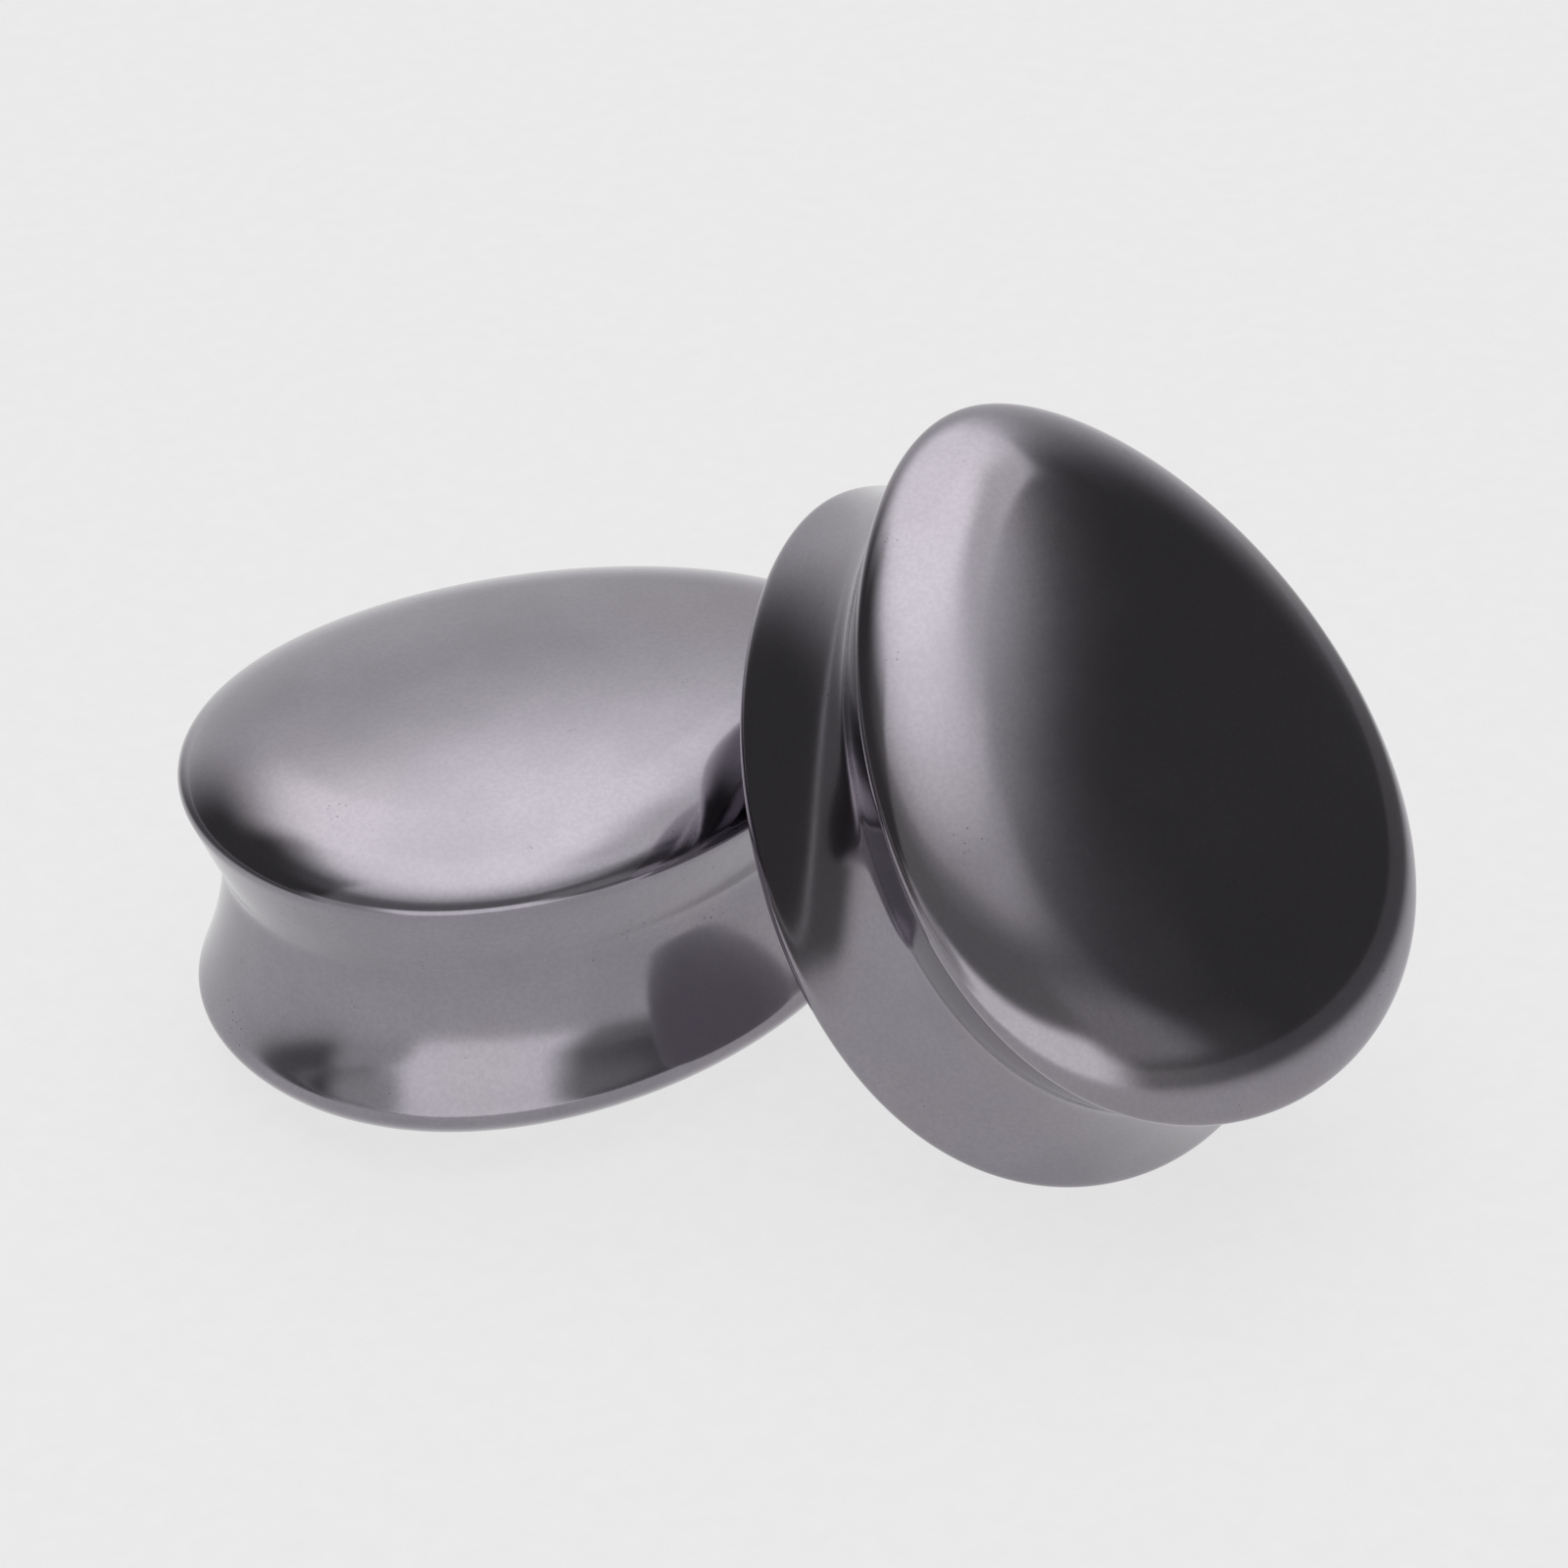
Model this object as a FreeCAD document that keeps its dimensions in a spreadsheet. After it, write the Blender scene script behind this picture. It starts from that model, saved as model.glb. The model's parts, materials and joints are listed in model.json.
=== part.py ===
import FreeCAD, Part
import math
import os
import Sketcher

# A pair of solid polished stone plugs, each a thick teardrop with two domed faces, a rounded rim
# round each face and a concave waist between the rims. One lies flat on its back face and the
# other stands on its rim and leans on the first.
#
# Units are millimetres. +Z is up and the floor is Z = 0. The origin is the centre of the flat land
# on the lying plug's back face, and +X runs along that plug's long axis to its narrow end.
# In a plug's own frame the middle plane is Z = 0 and the front face looks to +Z.

os.makedirs("parts", exist_ok=True)
doc = FreeCAD.newDocument("teardrop_plugs")
sheet = doc.addObject("Spreadsheet::Sheet", "Sizes")
Vector = FreeCAD.Vector

SIZES = [
    # alias, value, meaning
    ("overall_length", 27.6, "rim to rim along the long axis"),
    ("tip_radius", 5.83, "outline, narrow end"),
    ("broad_radius", 10.68, "outline, broad end"),
    ("flank_radius", 18.62, "outline, long sides"),
    ("half_thick", 7.4, "middle plane to the top of either dome"),
    ("blank_spare", 1.0, "how far the blank rises above the front dome"),
    ("dome_long_radius", 87.3, "dome, along the long axis"),
    ("dome_cross_radius", 38.7, "dome, across"),
    ("dome_half_span", 13.0, "half width of the dome profile"),
    ("dome_sweep", 80.0, "angle the dome profile is turned through, in degrees"),
    ("cut_margin", 5.0, "how far cutting profiles reach outside the stone"),
    ("front_rim", 3.0, "rounding of the front rim"),
    ("back_rim", 3.0, "rounding of the back rim"),
    ("land_depth", 0.12, "depth of the flat land ground on the back dome"),
    ("neck_depth", 1.34, "waist, deepest point below the outline"),
    ("neck_radius", 10.3, "waist, long hollow that flares out to the back rim"),
    ("neck_height", 0.38, "waist, height of the long hollow's centre above the middle plane"),
    ("neck_tail", 0.5, "waist, how far the hollow runs on past the outline"),
    ("foot_radius", 3.1, "waist, hollow where the straight fall runs into the long hollow"),
    ("fall_angle", 23.8, "waist, lean of the straight fall behind the front rim, in degrees"),
    ("crest_height", 4.3, "height where the straight fall leaves the front rim"),
    # where the second plug rests
    ("lean_x", 13.166, "leaning plug, centre X"),
    ("lean_y", -15.6501, "leaning plug, centre Y"),
    ("lean_z", 13.4101, "leaning plug, centre Z"),
    ("lean_axis_x", 0.397383, "leaning plug, axis of its turn, X part"),
    ("lean_axis_y", -0.295712, "leaning plug, axis of its turn, Y part"),
    ("lean_axis_z", 0.868701, "leaning plug, axis of its turn, Z part"),
    ("lean_turn", 106.8609, "leaning plug, angle of its turn in degrees"),
]
for row, (alias, value, meaning) in enumerate(SIZES, start=1):
    sheet.set("A%d" % row, alias)
    sheet.set("B%d" % row, repr(value))
    sheet.set("C%d" % row, meaning)
    sheet.setAlias("B%d" % row, alias)
doc.recompute()

# The clear gap allowed between the two stones
LEAST_GAP, MOST_GAP = 0.005, 0.2

# How a sketch constraint names the points of a curve, the sketch axes and the origin
START, END, CENTRE = 1, 2, 3
X_AXIS, Y_AXIS = -1, -2
ORIGIN = (-1, 1)


def size(alias):
    return float(getattr(sheet, alias))


def origin_plane(body, role):
    return [f for f in body.Origin.OriginFeatures if f.Role == role][0]


def sketch_on(body, role, name):
    sk = body.newObject("Sketcher::SketchObject", name)
    sk.AttachmentSupport = [(origin_plane(body, role), "")]
    sk.MapMode = "FlatFace"
    return sk


def tie(sk, kind, *args):
    """Add a geometric constraint."""
    sk.addConstraint(Sketcher.Constraint(kind, *args))


def chain(sk, kind, *curves):
    """Tie the end of each curve to the start of the next."""
    for first, second in zip(curves, curves[1:]):
        tie(sk, kind, first, END, second, START)


def bind(sk, kind, args, name, expression):
    """Add a named dimension driven by the spreadsheet. The last of args is its first value."""
    index = sk.addConstraint(Sketcher.Constraint(kind, *args))
    sk.renameConstraint(index, name)
    sk.setExpression("Constraints." + name, expression)


def arc(centre, radius, start_angle, end_angle):
    circle = Part.Circle(centre, Vector(0, 0, 1), radius)
    return Part.ArcOfCircle(circle, start_angle, end_angle)


def polyline(*points):
    return [Part.LineSegment(a, b) for a, b in zip(points, points[1:])]


def outline_sketch(body):
    """The rim outline seen from above: an egg-like oval of tangent arcs, narrow end at +X."""
    half = size("overall_length") / 2
    tip_r, broad_r, flank_r = size("tip_radius"), size("broad_radius"), size("flank_radius")
    tip_x, broad_x = half - tip_r, broad_r - half
    # the centre of the upper flank's arc lies below the X axis, at a known distance
    # from the centre of each end
    to_tip, to_broad, spacing = flank_r - tip_r, flank_r - broad_r, tip_x - broad_x
    along = (spacing**2 + to_broad**2 - to_tip**2) / (2 * spacing)
    flank_x = broad_x + along
    flank_y = math.sqrt(to_broad**2 - along**2)
    tip_angle = math.atan2(flank_y, tip_x - flank_x)
    broad_angle = math.atan2(flank_y, broad_x - flank_x)
    turn = 2 * math.pi
    tip_centre, broad_centre = Vector(tip_x, 0, 0), Vector(broad_x, 0, 0)

    sk = sketch_on(body, "XY_Plane", "Outline")
    upper_tip, upper_flank, broad, lower_flank, lower_tip = range(5)
    sk.addGeometry(
        [
            arc(tip_centre, tip_r, 0, tip_angle),
            arc(Vector(flank_x, -flank_y, 0), flank_r, tip_angle, broad_angle),
            arc(broad_centre, broad_r, broad_angle, turn - broad_angle),
            arc(Vector(flank_x, flank_y, 0), flank_r, turn - broad_angle, turn - tip_angle),
            arc(tip_centre, tip_r, turn - tip_angle, turn),
        ],
        False,
    )
    chain(sk, "Tangent", upper_tip, upper_flank, broad, lower_flank, lower_tip)
    chain(sk, "Coincident", lower_tip, upper_tip)
    tie(sk, "Coincident", lower_tip, CENTRE, upper_tip, CENTRE)
    tie(sk, "PointOnObject", upper_tip, CENTRE, X_AXIS)
    tie(sk, "PointOnObject", upper_tip, START, X_AXIS)
    tie(sk, "PointOnObject", broad, CENTRE, X_AXIS)
    tie(sk, "Equal", upper_flank, lower_flank)
    bind(sk, "DistanceX", (*ORIGIN, upper_tip, START, half),
         "half_length", "Sizes.overall_length / 2")
    bind(sk, "DistanceX", (broad, CENTRE, upper_tip, CENTRE, spacing),
         "centres", "Sizes.overall_length - Sizes.tip_radius - Sizes.broad_radius")
    bind(sk, "Radius", (upper_tip, tip_r), "tip", "Sizes.tip_radius")
    bind(sk, "Radius", (broad, broad_r), "broad", "Sizes.broad_radius")
    bind(sk, "Radius", (upper_flank, flank_r), "flank", "Sizes.flank_radius")
    return sk


def dome_sketch(body):
    """The space above the front dome, across the stone: an arc below, a flat lid above.

    A construction line along the stone is the axis the profile turns about."""
    radius, top, span = size("dome_cross_radius"), size("half_thick"), size("dome_half_span")
    margin = size("cut_margin")
    centre_z, lid_z = top - radius, top + margin
    axis_z = top - size("dome_long_radius")
    end_angle = math.acos(span / radius)
    end_z = centre_z + radius * math.sin(end_angle)

    sk = sketch_on(body, "YZ_Plane", "DomeProfile")
    dome, left, lid, right, axis = range(5)
    sk.addGeometry(
        [arc(Vector(0, centre_z, 0), radius, end_angle, math.pi - end_angle)]
        + polyline(
            Vector(-span, end_z, 0),
            Vector(-span, lid_z, 0),
            Vector(span, lid_z, 0),
            Vector(span, end_z, 0),
        ),
        False,
    )
    sk.addGeometry(Part.LineSegment(Vector(-margin, axis_z, 0), Vector(margin, axis_z, 0)), True)
    chain(sk, "Coincident", dome, left, lid, right, dome)
    tie(sk, "Vertical", left)
    tie(sk, "Vertical", right)
    tie(sk, "PointOnObject", dome, CENTRE, Y_AXIS)
    tie(sk, "Horizontal", axis)
    tie(sk, "Symmetric", lid, START, lid, END, Y_AXIS)
    bind(sk, "Radius", (dome, radius), "dome", "Sizes.dome_cross_radius")
    bind(sk, "DistanceY", (dome, CENTRE, *ORIGIN, -centre_z),
         "dome_centre", "Sizes.dome_cross_radius - Sizes.half_thick")
    bind(sk, "DistanceX", (*ORIGIN, right, START, span), "half_span", "Sizes.dome_half_span")
    bind(sk, "DistanceY", (*ORIGIN, lid, START, lid_z),
         "lid", "Sizes.half_thick + Sizes.cut_margin")
    bind(sk, "DistanceY", (axis, START, *ORIGIN, -axis_z),
         "axis_drop", "Sizes.dome_long_radius - Sizes.half_thick")
    bind(sk, "DistanceX", (axis, START, *ORIGIN, margin), "axis_left", "Sizes.cut_margin")
    bind(sk, "DistanceX", (*ORIGIN, axis, END, margin), "axis_right", "Sizes.cut_margin")
    return sk


def neck_sketch(body):
    """The waist where it crosses the narrow end, as the region cut away outside it.

    From the front rim a straight fall leans into the neck. At its foot it runs smoothly into one
    long hollow, which widens steadily until it meets the back rim."""
    half, top = size("overall_length") / 2, size("crest_height")
    tail, margin = size("neck_tail"), size("cut_margin")
    hollow_r, foot_r = size("neck_radius"), size("foot_radius")
    lean = math.radians(size("fall_angle"))
    crest = Vector(half, top, 0)
    hollow_centre = Vector(half - size("neck_depth") + hollow_r, size("neck_height"), 0)
    # the foot arc touches the long hollow from inside and the straight fall from outside
    down = Vector(-math.sin(lean), -math.cos(lean), 0)
    outward = Vector(math.cos(lean), -math.sin(lean), 0)
    offset = crest + outward * foot_r - hollow_centre
    reach = offset.dot(down)
    run = -reach + math.sqrt(reach**2 - offset.dot(offset) + (hollow_r - foot_r) ** 2)
    fall_end = crest + down * run
    foot_centre = fall_end + outward * foot_r
    to_foot = foot_centre - hollow_centre
    join_angle = math.atan2(to_foot.y, to_foot.x)
    tail_angle = math.pi + math.acos((hollow_centre.x - half - tail) / hollow_r)
    tail_z = hollow_centre.y + hollow_r * math.sin(tail_angle)

    sk = sketch_on(body, "XZ_Plane", "NeckProfile")
    hollow, foot, fall, upper, outer, lower = range(6)
    sk.addGeometry(
        [
            arc(hollow_centre, hollow_r, join_angle, tail_angle),
            arc(foot_centre, foot_r, math.pi - lean, join_angle),
        ]
        + polyline(
            fall_end,
            crest,
            Vector(half + margin, top, 0),
            Vector(half + margin, tail_z, 0),
            Vector(half + tail, tail_z, 0),
        ),
        False,
    )
    tie(sk, "Tangent", hollow, START, foot, END)
    tie(sk, "Tangent", foot, START, fall, START)
    chain(sk, "Coincident", fall, upper, outer, lower)
    tie(sk, "Coincident", lower, END, hollow, END)
    tie(sk, "Horizontal", upper)
    tie(sk, "Vertical", outer)
    tie(sk, "Horizontal", lower)
    bind(sk, "Radius", (hollow, hollow_r), "hollow", "Sizes.neck_radius")
    bind(sk, "Radius", (foot, foot_r), "foot", "Sizes.foot_radius")
    bind(sk, "DistanceX", (*ORIGIN, hollow, CENTRE, hollow_centre.x),
         "hollow_x", "Sizes.overall_length / 2 - Sizes.neck_depth + Sizes.neck_radius")
    bind(sk, "DistanceY", (*ORIGIN, hollow, CENTRE, hollow_centre.y),
         "hollow_z", "Sizes.neck_height")
    bind(sk, "Angle", (fall, math.pi / 2 - lean), "fall", "90 - Sizes.fall_angle")
    bind(sk, "DistanceX", (*ORIGIN, fall, END, half), "crest", "Sizes.overall_length / 2")
    bind(sk, "DistanceY", (*ORIGIN, fall, END, top), "crest_z", "Sizes.crest_height")
    bind(sk, "DistanceX", (*ORIGIN, hollow, END, half + tail),
         "tail_x", "Sizes.overall_length / 2 + Sizes.neck_tail")
    bind(sk, "DistanceX", (upper, START, upper, END, margin), "outside", "Sizes.cut_margin")
    return sk


def rim_edges(shape, front):
    """The edges where the front or back dome meets the upright side of the blank."""
    names = []
    for i, edge in enumerate(shape.Edges, start=1):
        middle = edge.valueAt((edge.FirstParameter + edge.LastParameter) / 2)
        kinds = sorted(f.Surface.TypeId for f in shape.ancestorsOfType(edge, Part.Face))
        if kinds == ["Part::GeomCylinder", "Part::GeomToroid"] and (middle.z > 0) == front:
            names.append("Edge%d" % i)
    return names


def round_rim(body, base, name, front, alias):
    rim = body.newObject("PartDesign::Fillet", name)
    rim.Base = (base, rim_edges(base.Shape, front))
    rim.setExpression("Radius", "Sizes." + alias)
    doc.recompute()
    return rim


def plug(label):
    body = doc.addObject("PartDesign::Body", label)
    body.Label = label
    outline = outline_sketch(body)
    blank = body.newObject("PartDesign::Pad", "Blank")
    blank.Profile = outline
    blank.SideType = "Two sides"
    blank.setExpression("Length", "Sizes.half_thick + Sizes.blank_spare")
    # the blank stops short of the back dome's top, which leaves the flat land
    blank.setExpression("Length2", "Sizes.half_thick - Sizes.land_depth")
    doc.recompute()

    dome = dome_sketch(body)
    front = body.newObject("PartDesign::Groove", "FrontDome")
    front.Profile = dome
    front.ReferenceAxis = (dome, ["Axis0"])
    front.Angle = size("dome_sweep")
    front.setExpression("Angle", "Sizes.dome_sweep")
    front.Midplane = True
    doc.recompute()
    back = body.newObject("PartDesign::Mirrored", "BackDome")
    back.Originals = [front]
    back.MirrorPlane = (origin_plane(body, "XY_Plane"), [""])
    body.Tip = back
    doc.recompute()

    front_rim = round_rim(body, back, "FrontRim", True, "front_rim")
    round_rim(body, front_rim, "BackRim", False, "back_rim")

    neck = neck_sketch(body)
    waist = body.newObject("PartDesign::SubtractivePipe", "Waist")
    waist.Profile = neck
    waist.Spine = (outline, [])
    waist.Mode = "Standard"
    body.Tip = waist
    doc.recompute()
    return body


# The lying plug rests on the land of its back dome, with its front face up.
lying = plug("lying_plug")
lying.setExpression("Placement.Base.z", "Sizes.half_thick - Sizes.land_depth")

# The leaning plug stands on its back rim, and its back dome all but touches the lying plug's
# front rim: 0.03 mm is left between the two stones, so that the solids do not overlap.
leaning = plug("leaning_plug")
lean_axis = Vector(*(size("lean_axis_" + part) for part in "xyz"))
leaning.Placement = FreeCAD.Placement(
    Vector(*(size("lean_" + part) for part in "xyz")),
    FreeCAD.Rotation(lean_axis, size("lean_turn")),
)
for part in "xyz":
    leaning.setExpression("Placement.Base." + part, "Sizes.lean_" + part)
doc.recompute()

for obj in doc.Objects:
    if "Invalid" in obj.State or "Error" in obj.State:
        raise RuntimeError("%s did not compute: %s" % (obj.Name, obj.State))
for body in (lying, leaning):
    shape = body.Shape
    if shape.isNull() or not shape.isValid() or len(shape.Solids) != 1:
        raise RuntimeError("%s is not one valid solid" % body.Label)
gap = lying.Shape.distToShape(leaning.Shape)[0]
if not LEAST_GAP < gap < MOST_GAP:
    raise RuntimeError("the plugs should just miss each other, and are %.3f mm apart" % gap)

for body in (lying, leaning):
    body.Shape.exportStep("parts/%s.step" % body.Label)
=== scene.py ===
# A pair of solid polished metallic stone plugs, one lying and one leaning. Each is a thick
# teardrop with two domed faces and a concave waist. In a plug's own frame the middle plane is
# z = 0, the front face is up, the narrow end is at +x and the whole length is 1.
import json
import math

import bpy
import numpy as np
from mathutils import Matrix, Vector


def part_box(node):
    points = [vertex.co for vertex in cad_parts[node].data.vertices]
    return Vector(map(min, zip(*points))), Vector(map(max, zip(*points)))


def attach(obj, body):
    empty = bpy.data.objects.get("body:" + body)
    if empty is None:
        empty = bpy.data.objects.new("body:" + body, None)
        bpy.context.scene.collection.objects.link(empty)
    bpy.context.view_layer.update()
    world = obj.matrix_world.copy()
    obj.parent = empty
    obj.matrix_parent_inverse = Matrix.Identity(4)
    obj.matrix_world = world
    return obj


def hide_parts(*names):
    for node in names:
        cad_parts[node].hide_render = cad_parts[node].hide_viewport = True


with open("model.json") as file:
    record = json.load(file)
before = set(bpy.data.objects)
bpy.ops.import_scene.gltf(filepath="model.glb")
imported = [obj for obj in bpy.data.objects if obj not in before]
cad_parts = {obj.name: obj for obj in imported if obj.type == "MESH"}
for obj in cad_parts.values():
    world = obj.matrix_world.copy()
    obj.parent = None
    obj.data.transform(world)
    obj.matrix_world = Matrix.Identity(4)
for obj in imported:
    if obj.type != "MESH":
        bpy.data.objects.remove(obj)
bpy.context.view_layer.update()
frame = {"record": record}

LENGTH = 27.6                   # of a plug, in millimetres

# Everything below is in shares of the length.
ROUNDNESS = {2: -0.4003, 3: -0.3437, 4: -0.0343}  # harmonics of the outline's log radius
CREST = 0.1616                  # height of the front rim's widest line
RIM = 0.1318                    # how far the rounding of the rim reaches over the face
RIM_POWER = 1.2278              # exponent of the rim's rounding
TOP = 0.2680                    # middle plane to the top of the dome
FALL_X, FALL_Y = 0.1580, 0.3569  # how fast the dome falls away, along and across
HOLLOW = 0.0525                 # depth of the waist's long hollow
HOLLOW_AT = 0.2538              # share of the way down the waist where it is deepest
HOLLOW_RISE = 0.55              # exponent of its rise to the back rim
WAIST_FALL = 0.404              # slope of the straight fall behind the front rim
WAIST_BLEND = 0.0022            # rounding where the fall meets the hollow
LAND = 0.12 / LENGTH            # depth of the flat on the back dome
LAND_EDGE = 0.012 / LENGTH      # rounding of the flat's edge
LAND_HEIGHT = TOP - LAND
SOFTEN = 0.20 / LENGTH          # how far polishing has rounded every edge off
SOFTEN_REACH = 4 * SOFTEN
SEAM = 0.045                    # from the rim's inner edge to where the dome's grid begins

HARMONICS = 24                  # terms in the outline's series
GRID = 96                       # squares along one side of a dome's grid
RINGS = 172
DOME_STEPS, RIM_STEPS, WAIST_STEPS = 160, 240, 500
PROFILE_POINTS = 1200


# ---------------------------------------------------------------- outline
def outline_series():
    """Cosine series of the oval's support function, which gives a curve with no flat or kink."""
    samples = 2048
    angle = np.linspace(0, 2 * np.pi, samples, endpoint=False)
    log_radius = sum(size * np.cos(order * angle) for order, size in ROUNDNESS.items())
    # bisect for the first harmonic that makes the curve close
    low, high = -3.0, 3.0
    for _ in range(60):
        middle = (low + high) / 2
        if (np.exp(log_radius + middle * np.cos(angle)) * np.cos(angle)).mean() > 0:
            high = middle
        else:
            low = middle
    radius = np.exp(log_radius + (low + high) / 2 * np.cos(angle))
    spectrum = (np.fft.rfft(radius) / samples).real
    order = np.arange(HARMONICS)
    series = np.zeros(HARMONICS)
    series[0] = spectrum[0]
    series[2:] = 2 * spectrum[2:HARMONICS] / (1 - order[2:] ** 2.0)
    # centre the oval along x and make its length 1
    ahead = series.sum()
    behind = (series * (-1.0) ** order).sum()
    series[1] -= (ahead - behind) / 2
    return series / (ahead + behind)


SERIES = outline_series()


def oval(angle):
    """Points and outward normals of the outline where its normal points along each angle."""
    order = np.arange(HARMONICS)
    cos = np.cos(np.outer(angle, order))
    sin = np.sin(np.outer(angle, order))
    support = cos @ SERIES
    support_slope = -(sin * order) @ SERIES
    normal = np.c_[np.cos(angle), np.sin(angle)]
    tangent = np.c_[-np.sin(angle), np.cos(angle)]
    return support[:, None] * normal + support_slope[:, None] * tangent, normal


# ---------------------------------------------------------------- heights and edge profile
def dome_height(x, y):
    return TOP - FALL_X * x * x - FALL_Y * y * y


def dome_slope(x, y):
    """How fast the dome falls along x and along y."""
    return 2 * FALL_X * x, 2 * FALL_Y * y


def flattened(z):
    """The back dome's height with its flat, and a very slightly rounded edge round the flat."""
    return LAND_HEIGHT - LAND_EDGE * np.logaddexp(0, (LAND_HEIGHT - z) / LAND_EDGE)


def waist(share):
    """Inward distance of the waist: a straight fall, then a hollow rising to the back rim."""
    climb = np.clip((1 - share) / (1 - HOLLOW_AT), 0, 1) ** HOLLOW_RISE
    hollow = HOLLOW * np.sin(np.pi / 2 * climb) ** 2
    fall = WAIST_FALL * 2 * CREST * share
    return -WAIST_BLEND * np.logaddexp(-hollow / WAIST_BLEND, -fall / WAIST_BLEND)


def dome_stretch(base, normal):
    """The front dome's part of the profile, from the middle outward."""
    inward = np.linspace(RIM + SEAM + SOFTEN_REACH, RIM, DOME_STEPS, endpoint=False)
    point = base[:, None, :] - inward[None, :, None] * normal[:, None, :]
    height = dome_height(point[..., 0], point[..., 1])
    return np.stack([np.broadcast_to(inward, height.shape), height], -1)


def rim_stretch(base, normal):
    """The front rim, leaving the dome at the dome's own slope and ending upright at the crest."""
    x, y = (base - RIM * normal).T
    rise = dome_height(x, y) - CREST
    slope_x, slope_y = dome_slope(x, y)
    slope = slope_x * normal[:, 0] + slope_y * normal[:, 1]
    first = np.arctan2(rise, RIM * np.maximum(slope, 1e-3))
    turn = first[:, None] * np.linspace(1, 0, RIM_STEPS)[None, :]
    first_cos = np.cos(first)[:, None] ** RIM_POWER
    first_sin = np.sin(first)[:, None] ** RIM_POWER
    inward = RIM * (1 - np.cos(turn) ** RIM_POWER) / (1 - first_cos)
    height = CREST + rise[:, None] * np.sin(turn) ** RIM_POWER / first_sin
    return np.stack([inward, height], -1)


def section(angle):
    """The edge profile at each angle as (inward distance, height), evenly spaced and softened.

    It runs from the front dome over the front rim, down the waist and over the back rim."""
    base, normal = oval(angle)
    count = len(angle)
    dome = dome_stretch(base, normal)
    rim = rim_stretch(base, normal)
    share = np.linspace(0, 1, WAIST_STEPS)[1:-1]
    neck = np.stack([waist(share), CREST * (1 - 2 * share)], -1)
    neck = np.broadcast_to(neck, (count, *neck.shape))
    flip = np.array([1.0, -1.0])
    path = np.concatenate([dome, rim, neck, rim[:, ::-1] * flip, dome[:, ::-1] * flip], 1)

    # even spacing
    step = np.linalg.norm(np.diff(path, axis=1), axis=2)
    arc = np.c_[np.zeros(count), np.cumsum(step, 1)]
    even = np.empty((count, PROFILE_POINTS, 2))
    for i in range(count):
        at = np.linspace(0, arc[i, -1], PROFILE_POINTS)
        for axis in range(2):
            even[i, :, axis] = np.interp(at, arc[i], path[i, :, axis])

    # Gaussian softening, which uses up the ends of the path
    spacing = arc[:, -1].mean() / (PROFILE_POINTS - 1)
    reach = int(math.ceil(SOFTEN_REACH / spacing))
    offset = np.arange(-reach, reach + 1) * spacing
    kernel = np.exp(-0.5 * (offset / SOFTEN) ** 2)
    kernel /= kernel.sum()
    kept = PROFILE_POINTS - 2 * reach
    soft = np.zeros((count, kept, 2))
    for j, weight in enumerate(kernel):
        soft += weight * even[:, j : j + kept]
    return soft


# ---------------------------------------------------------------- surface of one plug
def disc_grid():
    """A square grid bent onto a disc, and its boundary cells in order from +x round."""
    line = np.linspace(-1, 1, GRID + 1)
    x, y = np.meshgrid(line, line, indexing="ij")
    disc_x = x * np.sqrt(1 - y * y / 2)
    disc_y = y * np.sqrt(1 - x * x / 2)
    half = GRID // 2
    loop = (
        [(GRID, j) for j in range(half, GRID)]
        + [(i, GRID) for i in range(GRID, 0, -1)]
        + [(0, j) for j in range(GRID, 0, -1)]
        + [(i, 0) for i in range(0, GRID)]
        + [(GRID, j) for j in range(0, half)]
    )
    return disc_x, disc_y, loop


def choose_rings(profile, start, stop):
    """Profile points that become rings, crowded where the profile turns quickly."""
    turn_weight, turn_window = 0.9, 9
    along = np.gradient(profile, axis=1)
    heading = np.unwrap(np.arctan2(along[..., 1], along[..., 0]), axis=1)
    turn = np.abs(np.gradient(heading, axis=1)).mean(0)
    turn = np.convolve(turn, np.ones(turn_window) / turn_window, "same")[start : stop + 1]
    length = np.linalg.norm(along, axis=2).mean(0)[start : stop + 1]
    weight = np.cumsum(length / length.sum() + turn_weight * turn / turn.sum())
    weight = (weight - weight[0]) / (weight[-1] - weight[0])
    steps = np.arange(stop - start + 1)
    pick = start + np.round(np.interp(np.linspace(0, 1, RINGS), weight, steps)).astype(int)
    return np.unique(pick)


def ring_points(angle, profile):
    base, normal = oval(angle)
    xy = base[:, None, :] - profile[..., :1] * normal[:, None, :]
    z = profile[..., 1]
    z = np.where(z < 0, -flattened(-z), z)
    return np.concatenate([xy, z[..., None]], -1)


def ring_surface(angle, profile, pick):
    """Points and outward normals of the chosen rings."""
    points = ring_points(angle, profile)
    along = np.gradient(points, axis=1)
    step = 2e-4
    ahead, behind = (ring_points(angle + d, section(angle + d)) for d in (step, -step))
    around = (ahead - behind) / (2 * step)
    normals = np.cross(around, along)
    normals /= np.linalg.norm(normals, axis=2, keepdims=True)
    normals = normals[:, pick]
    outward = np.c_[np.cos(angle), np.sin(angle)]
    if (normals[:, len(pick) // 3, :2] * outward).sum(1).mean() < 0:
        normals = -normals
    return points[:, pick], normals


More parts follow.
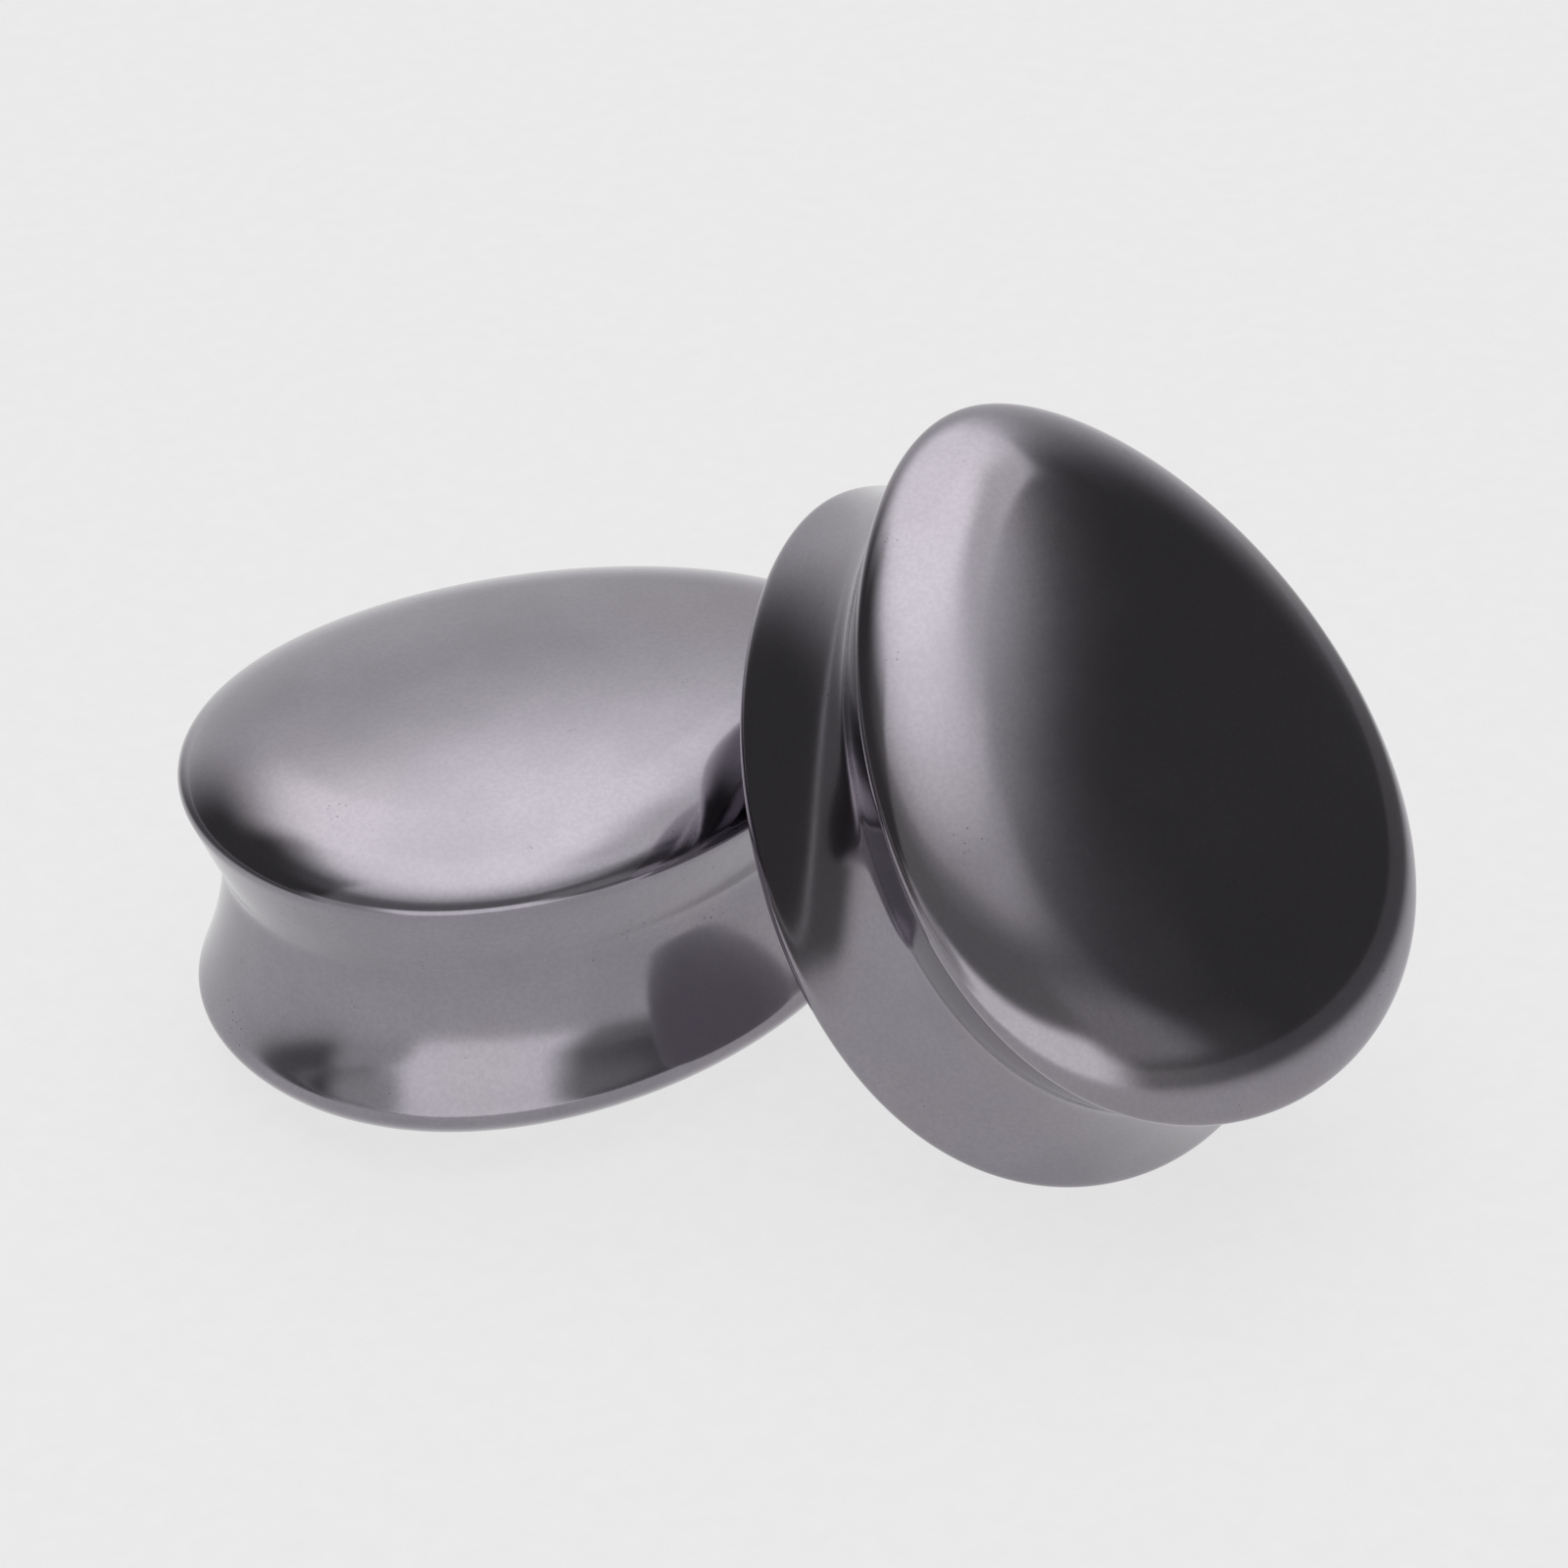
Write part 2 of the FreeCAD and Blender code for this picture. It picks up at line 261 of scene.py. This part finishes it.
def dome_surfaces(x, y, angle, edge_inward):
    """Points and normals inside the first ring, front then back, for points of the unit disc.

    Every point lies on a line from the middle to the ring."""
    bearing = np.mod(np.arctan2(y, x) - angle[0], 2 * np.pi) + angle[0]
    base, normal = oval(bearing)
    round_angle = np.r_[angle, angle[0] + 2 * np.pi]
    inward = np.interp(bearing, round_angle, np.r_[edge_inward, edge_inward[:1]])
    xy = np.hypot(x, y)[:, None] * (base - inward[:, None] * normal)
    z = dome_height(xy[:, 0], xy[:, 1])
    slope_x, slope_y = dome_slope(xy[:, 0], xy[:, 1])
    ones = np.ones(len(xy))
    # share of the dome's slope that is left where the back is flattened
    share = 1 / (1 + np.exp(np.clip(-(LAND_HEIGHT - z) / LAND_EDGE, -60, 60)))
    front = np.c_[xy, z], np.c_[slope_x, slope_y, ones]
    back = np.c_[xy, -flattened(z)], np.c_[slope_x * share, slope_y * share, -ones]
    return front, back


def plug_surface():
    """Vertices in millimetres, their normals, and faces: the rings, then the two domes."""
    disc_x, disc_y, loop = disc_grid()
    around = len(loop)
    angle = np.unwrap(np.array([math.atan2(disc_y[i, j], disc_x[i, j]) for i, j in loop]))

    profile = section(angle)
    count = profile.shape[1]
    start = int(np.argmin(np.abs(profile[:, : count // 2, 0].mean(0) - (RIM + SEAM))))
    pick = choose_rings(profile, start, count - 1 - start)
    rings, ring_normals = ring_surface(angle, profile, pick)
    verts = [rings.transpose(1, 0, 2).reshape(-1, 3)]
    normals = [ring_normals.transpose(1, 0, 2).reshape(-1, 3)]

    def ring_id(r, c):
        return r * around + c % around

    last = len(pick) - 1
    faces = [
        (ring_id(r, c), ring_id(r + 1, c), ring_id(r + 1, c + 1), ring_id(r, c + 1))
        for r in range(last)
        for c in range(around)
    ]

    inside = np.ones_like(disc_x, bool)
    for i, j in loop:
        inside[i, j] = False
    rows, columns = np.nonzero(inside)
    domes = dome_surfaces(disc_x[inside], disc_y[inside], angle, profile[:, start, 0])
    for (points, point_normals), ring, order in zip(domes, (0, last), (1, -1)):
        first = sum(len(v) for v in verts)
        index = -np.ones((GRID + 1, GRID + 1), int)
        index[rows, columns] = first + np.arange(len(rows))
        for c, (i, j) in enumerate(loop):
            index[i, j] = ring_id(ring, c)
        verts.append(points)
        normals.append(point_normals)
        for i in range(GRID):
            for j in range(GRID):
                quad = (index[i, j], index[i + 1, j], index[i + 1, j + 1], index[i, j + 1])
                faces.append(tuple(int(v) for v in quad[::order]))
    normals = np.concatenate(normals)
    normals /= np.linalg.norm(normals, axis=1, keepdims=True)
    return np.concatenate(verts) * LENGTH, normals, faces


# ---------------------------------------------------------------- small node language
class Nodes:
    def __init__(self, owner, output_kind):
        owner.use_nodes = True
        self.tree = owner.node_tree
        self.tree.nodes.clear()
        self.surface = self.add(output_kind).inputs["Surface"]

    def add(self, kind, **settings):
        node = self.tree.nodes.new(kind)
        for key, value in settings.items():
            setattr(node, key, value)
        return node

    def put(self, socket, value):
        """Link a socket to another, or set its value."""
        if isinstance(value, bpy.types.NodeSocket):
            self.tree.links.new(value, socket)
        else:
            socket.default_value = value

    def math(self, operation, *values):
        node = self.add("ShaderNodeMath", operation=operation)
        for socket, value in zip(node.inputs, values):
            self.put(socket, value)
        return node.outputs[0]

    def plus(self, a, b):
        return self.math("ADD", a, b)

    def times(self, value, by):
        return self.math("MULTIPLY", value, by)

    def vector_math(self, operation, *values):
        node = self.add("ShaderNodeVectorMath", operation=operation)
        for socket, value in zip(node.inputs, values):
            self.put(socket, value)
        return node.outputs["Value" if operation in ("DOT_PRODUCT", "LENGTH") else "Vector"]

    def rise(self, value, low, high):
        """0 below low, 1 above high, smooth between."""
        node = self.add("ShaderNodeMapRange", interpolation_type="SMOOTHERSTEP", clamp=True)
        self.put(node.inputs["Value"], value)
        node.inputs["From Min"].default_value = low
        node.inputs["From Max"].default_value = high
        return node.outputs["Result"]

    def fall(self, value, low, high):
        """1 below low, 0 above high, smooth between."""
        return self.math("SUBTRACT", 1.0, self.rise(value, low, high))

    def mix(self, a, b, factor):
        node = self.add("ShaderNodeMix", data_type="FLOAT")
        self.put(node.inputs["Factor"], factor)
        self.put(node.inputs[2], a)
        self.put(node.inputs[3], b)
        return node.outputs[0]

    def mix_colour(self, a, b, factor):
        node = self.add("ShaderNodeMix", data_type="RGBA")
        self.put(node.inputs["Factor"], factor)
        self.put(node.inputs[6], a)
        self.put(node.inputs[7], b)
        return node.outputs[2]

    def noise(self, vector, scale, detail=2.0, rough=0.5):
        node = self.add("ShaderNodeTexNoise")
        self.put(node.inputs["Vector"], vector)
        node.inputs["Scale"].default_value = scale
        node.inputs["Detail"].default_value = detail
        node.inputs["Roughness"].default_value = rough
        return node.outputs["Fac"]

    def by_ray(self, kind, colour, mirrored, seen):
        """A glow with one strength in the stones' mirroring and another to the camera."""
        choose = self.add("ShaderNodeMixShader")
        is_camera = self.add("ShaderNodeLightPath").outputs["Is Camera Ray"]
        self.put(choose.inputs[0], is_camera)
        for i, strength in enumerate((mirrored, seen), start=1):
            glow = self.add(kind)
            self.put(glow.inputs["Color"], colour)
            self.put(glow.inputs["Strength"], strength)
            self.put(choose.inputs[i], glow.outputs[0])
        return choose.outputs[0]


# ---------------------------------------------------------------- polished stone
WARM_STONE = (0.296, 0.268, 0.290, 1)
SPECK_COLOUR = (0.22, 0.205, 0.235, 1)
PIT_COLOUR = (0.07, 0.066, 0.075, 1)
CLOUD_CONTRAST = 0.06           # how far the clouds darken and lighten the tint
BASE_ROUGHNESS = 0.085
BUMP_HEIGHT = 0.000010          # metres


def polished_stone():
    materials = frame["record"]["materials"]
    tint = next(m["base_color"] for m in materials if m["slot"] == "polished_hematite")
    mat = bpy.data.materials.new("polished_hematite")
    n = Nodes(mat, "ShaderNodeOutputMaterial")
    bsdf = n.add("ShaderNodeBsdfPrincipled")
    n.put(n.surface, bsdf.outputs[0])
    at = n.add("ShaderNodeTexCoord").outputs["Object"]

    # faint cloudy grain of the mineral, with warmer patches and dark specks
    cloud = n.noise(at, scale=160, detail=4, rough=0.55)
    grain = n.noise(at, scale=5200, detail=3, rough=0.6)
    warm = n.noise(at, scale=90)
    dark, light = (
        (*(tint[i] * level for i in range(3)), 1)
        for level in (1 - CLOUD_CONTRAST, 1 + CLOUD_CONTRAST)
    )
    body = n.mix_colour(dark, light, n.rise(cloud, low=0.3, high=0.7))
    warmth = n.times(n.rise(warm, low=0.45, high=0.7), by=0.45)
    body = n.mix_colour(body, WARM_STONE, warmth)
    speck = n.times(n.fall(grain, low=0.38, high=0.62), by=0.22)
    body = n.mix_colour(body, SPECK_COLOUR, speck)

    # micro pits, rare and tiny
    cell = n.add("ShaderNodeTexVoronoi", feature="F1")
    n.put(cell.inputs["Vector"], at)
    cell.inputs["Scale"].default_value = 4200
    rare = n.rise(n.noise(at, scale=420), low=0.60, high=0.72)
    pit = n.times(n.fall(cell.outputs["Distance"], low=0.08, high=0.24), by=rare)
    body = n.mix_colour(body, PIT_COLOUR, n.times(pit, by=0.55))
    n.put(bsdf.inputs["Base Color"], body)
    bsdf.inputs["Metallic"].default_value = 1.0

    uneven = n.times(n.noise(at, scale=700, detail=3, rough=0.6), by=0.05)
    rough = n.plus(n.plus(BASE_ROUGHNESS, uneven), n.times(pit, by=0.25))
    n.put(bsdf.inputs["Roughness"], rough)

    # hair-fine polishing marks in two directions, and a slow ripple left by hand polishing
    def marks(angle, scale):
        spin = n.add("ShaderNodeMapping")
        n.put(spin.inputs["Vector"], at)
        spin.inputs["Rotation"].default_value = (0.2, 0.1, angle)
        spin.inputs["Scale"].default_value = (60, scale, 600)
        return n.noise(spin.outputs[0], scale=1.0)

    ripple = n.times(n.noise(at, scale=190, detail=1, rough=0.4), by=1.0)
    crossed = n.plus(marks(angle=0.5, scale=9000), marks(angle=2.1, scale=7000))
    height = n.plus(ripple, n.times(crossed, by=0.012))
    height = n.plus(height, n.times(grain, by=0.010))
    bump = n.add("ShaderNodeBump")
    bump.inputs["Strength"].default_value = 1.0
    bump.inputs["Distance"].default_value = BUMP_HEIGHT
    n.put(bump.inputs["Height"], height)
    n.put(bsdf.inputs["Normal"], bump.outputs[0])
    return mat


# ---------------------------------------------------------------- the two plugs
# columns: where the leaning plug's own x, y and z point
LEAN = Matrix((
    (-0.08633, -0.98295, 0.16233),
    (0.67976, -0.17724, -0.71170),
    (0.72833, 0.04891, 0.68347),
))


def place(piece, turn, surface, stone):
    """Turn a plug, shrink it if need be to fit its CAD piece's box, and stand it on its floor."""
    verts, normals, faces = surface
    name = piece + "_polished"
    mesh = bpy.data.meshes.new(name)
    mesh.from_pydata((verts / 1000).tolist(), [], faces)
    mesh.validate()
    mesh.update()
    obj = bpy.data.objects.new(name, mesh)
    bpy.context.scene.collection.objects.link(obj)
    mesh.transform(turn.to_4x4())
    co = np.empty(len(mesh.vertices) * 3)
    mesh.vertices.foreach_get("co", co)
    co = co.reshape(-1, 3)
    low, high = (np.array(v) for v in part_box(piece))
    fit = min(1.0, float(((high - low) / (co.max(0) - co.min(0))).min()))
    co = (co - (co.max(0) + co.min(0)) / 2) * fit + (low + high) / 2
    co[:, 2] += low[2] - co[:, 2].min()
    mesh.vertices.foreach_set("co", co.ravel())
    mesh.polygons.foreach_set("use_smooth", [True] * len(mesh.polygons))
    mesh.update()
    mesh.normals_split_custom_set_from_vertices((normals @ np.array(turn).T).tolist())
    mesh.materials.append(stone)
    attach(obj, piece)
    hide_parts(piece)


STONE = polished_stone()
SURFACE = plug_surface()
place("lying_plug", Matrix.Identity(3), SURFACE, STONE)
place("leaning_plug", LEAN, SURFACE, STONE)

# ---------------------------------------------------------------- studio light
# Angles in degrees. Bearing 0 is straight away from the camera and +90 is to the right.
AWAY = Vector((0.4504, 0.8928, 0.0))
RIGHT = Vector((AWAY.y, -AWAY.x, 0.0))
DEGREES = 180 / math.pi
WHITE = (1, 1, 1, 1)
BACKDROP = 0.83                 # strength of the world as the camera sees it
UNDER_PANELS = 0.9              # level beneath all the panels

# level, then the panel it fills: bearing of its middle, half width, softness left and right,
# lowest height and its softness, highest height and its softness; later panels lie over
# earlier ones, and a half width of 180 or a height of -90 or 90 means no edge there
PANELS = [
    (0.87, (0, 180, 1, 1, -90, 1, 90, 1)),
    (0.27, (178, 67, 11, 6.5, -4.5, 5.4, 38.8, 7)),
    (1.88, (-33.7, 41.6, 9.7, 4.6, 46.7, 15, 81, 3)),
    (0.08, (-85, 39.5, 4, 21.3, 0.35, 2, 58.8, 8)),
    (0.08, (81.7, 47, 29, 26, -25, 10.7, 48.6, 3.4)),
    (0.30, (-152, 43.4, 21, 37.6, 35.8, 14.3, 42.7, 5)),
    (1.50, (184, 33, 9, 12, -11, 5, 13, 5)),
    (0.42, (139.7, 12.6, 8, 8, 6, 5, 29, 8)),
    (0.65, (-134, 15, 8.5, 8, 1, 5, 12, 5)),
    (0.64, (175, 60, 15, 15, 43.9, 4.2, 47.5, 5)),
    (2.13, (0, 180, 1, 1, 58, 21.5, 90, 1)),
    (2.03, (-13, 53, 13, 40, 45, 25, 90, 1)),
    (1.15, (88, 30, 22, 22, 48, 6, 68, 7)),
]


def studio_level(n, bearing, height):
    """Brightness of the studio in one direction."""

    def across(centre, half, soft_left, soft_right):
        if half >= 180:
            return 1.0
        shifted = n.plus(n.math("SUBTRACT", bearing, centre), 180.0)
        turned = n.math("FLOORED_MODULO", shifted, 360.0)
        offset = n.math("SUBTRACT", turned, 180.0)
        left = n.rise(offset, -half - soft_left, -half + soft_left)
        return n.times(left, by=n.fall(offset, half - soft_right, half + soft_right))

    def patch(centre, half, soft_left, soft_right, low, soft_low, high, soft_high):
        mask = across(centre, half, soft_left, soft_right)
        up = n.rise(height, low - soft_low, low + soft_low) if low > -90 else 1.0
        down = n.fall(height, high - soft_high, high + soft_high) if high < 90 else 1.0
        return n.times(mask, by=n.times(up, by=down))

    level = UNDER_PANELS
    for value, area in PANELS:
        level = n.mix(level, value, patch(*area))
    return level


def bearing_of(n, vector):
    right = n.vector_math("DOT_PRODUCT", vector, RIGHT)
    away = n.vector_math("DOT_PRODUCT", vector, AWAY)
    return n.times(n.math("ARCTAN2", right, away), by=DEGREES)


def build_world():
    world = bpy.data.worlds.new("studio")
    bpy.context.scene.world = world
    n = Nodes(world, "ShaderNodeOutputWorld")
    ray = n.add("ShaderNodeTexCoord").outputs["Generated"]
    upward = n.vector_math("DOT_PRODUCT", ray, (0, 0, 1))
    height = n.times(n.math("ARCSINE", upward), by=DEGREES)
    level = studio_level(n, bearing_of(n, ray), height)
    n.put(n.surface, n.by_ray("ShaderNodeBackground", WHITE, mirrored=level, seen=BACKDROP))


build_world()

# ---------------------------------------------------------------- floor
# The camera sees one seamless pale floor. In the stones it is a small light table: beyond the
# table's edge they mirror the foot of the studio panels instead.
FLOOR_SIDE, FLOOR_CELLS = 8.0, 40            # metres, squares along a side
TABLE_EDGE = {"low": 0.036, "high": 0.078}   # metres from the middle, where the edge fades
FLOOR_GLOW = 0.745
FOOT_HEIGHT, FOOT_SHARE = 4.0, 0.95          # degrees up the panels, share of their level
PAPER_DARK = (0.985, 0.985, 0.985, 1)
PAPER_MATT = (0.083, 0.083, 0.083, 1)        # the part that takes light and shadow


def paper_material():
    mat = bpy.data.materials.new("paper")
    n = Nodes(mat, "ShaderNodeOutputMaterial")
    at = n.add("ShaderNodeTexCoord").outputs["Object"]
    fleck = n.noise(at, scale=900, detail=3, rough=0.6)
    tone = n.mix_colour(PAPER_DARK, WHITE, n.rise(fleck, low=0.3, high=0.7))

    middle = (Vector(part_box("lying_plug")[0]) + Vector(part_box("leaning_plug")[1])) / 2
    outward = n.vector_math("SUBTRACT", at, (middle.x, middle.y, 0.0))
    beyond = n.rise(n.vector_math("LENGTH", outward), **TABLE_EDGE)
    foot = n.times(studio_level(n, bearing_of(n, outward), FOOT_HEIGHT), by=FOOT_SHARE)
    mirrored = n.mix(FLOOR_GLOW, foot, beyond)

    both = n.add("ShaderNodeAddShader")
    matt = n.add("ShaderNodeBsdfDiffuse")
    matt.inputs["Color"].default_value = PAPER_MATT
    n.put(both.inputs[0], n.by_ray("ShaderNodeEmission", tone, mirrored, seen=FLOOR_GLOW))
    n.put(both.inputs[1], matt.outputs[0])
    n.put(n.surface, both.outputs[0])
    return mat


def build_floor():
    line = [FLOOR_SIDE * (i / FLOOR_CELLS - 0.5) for i in range(FLOOR_CELLS + 1)]
    row = len(line)
    corners = [i * row + j for i in range(FLOOR_CELLS) for j in range(FLOOR_CELLS)]
    mesh = bpy.data.meshes.new("floor")
    mesh.from_pydata(
        [(x, y, 0.0) for x in line for y in line],
        [],
        [(c, c + row, c + row + 1, c + 1) for c in corners],
    )
    floor = bpy.data.objects.new("floor", mesh)
    bpy.context.scene.collection.objects.link(floor)
    mesh.materials.append(paper_material())


build_floor()

# ---------------------------------------------------------------- camera
# Seen from 33 degrees above, 246 mm from the lying plug.
CAMERA_RIGHT = Vector((0.88052, -0.47243, -0.03859))
CAMERA_UP = Vector((0.28471, 0.46203, 0.83992))
CAMERA_LOOK = Vector((0.37897, 0.75056, -0.54133))
CAMERA_FROM_PLUG = Vector((-0.084837, -0.187756, 0.134172))  # metres


def build_camera():
    low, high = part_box("lying_plug")
    camera = bpy.data.cameras.new("camera")
    camera.lens = 150.64
    camera.sensor_width = 36
    camera.clip_start = 0.01
    camera.clip_end = 20
    eye = bpy.data.objects.new("camera", camera)
    scene = bpy.context.scene
    scene.collection.objects.link(eye)
    turn = Matrix((CAMERA_RIGHT, CAMERA_UP, -CAMERA_LOOK)).transposed()
    place_at = (low + high) / 2 + CAMERA_FROM_PLUG
    eye.matrix_world = Matrix.Translation(place_at) @ turn.to_4x4()
    scene.camera = eye
    scene.view_settings.view_transform = "Standard"
    scene.view_settings.look = "None"


build_camera()

bpy.context.view_layer.update()
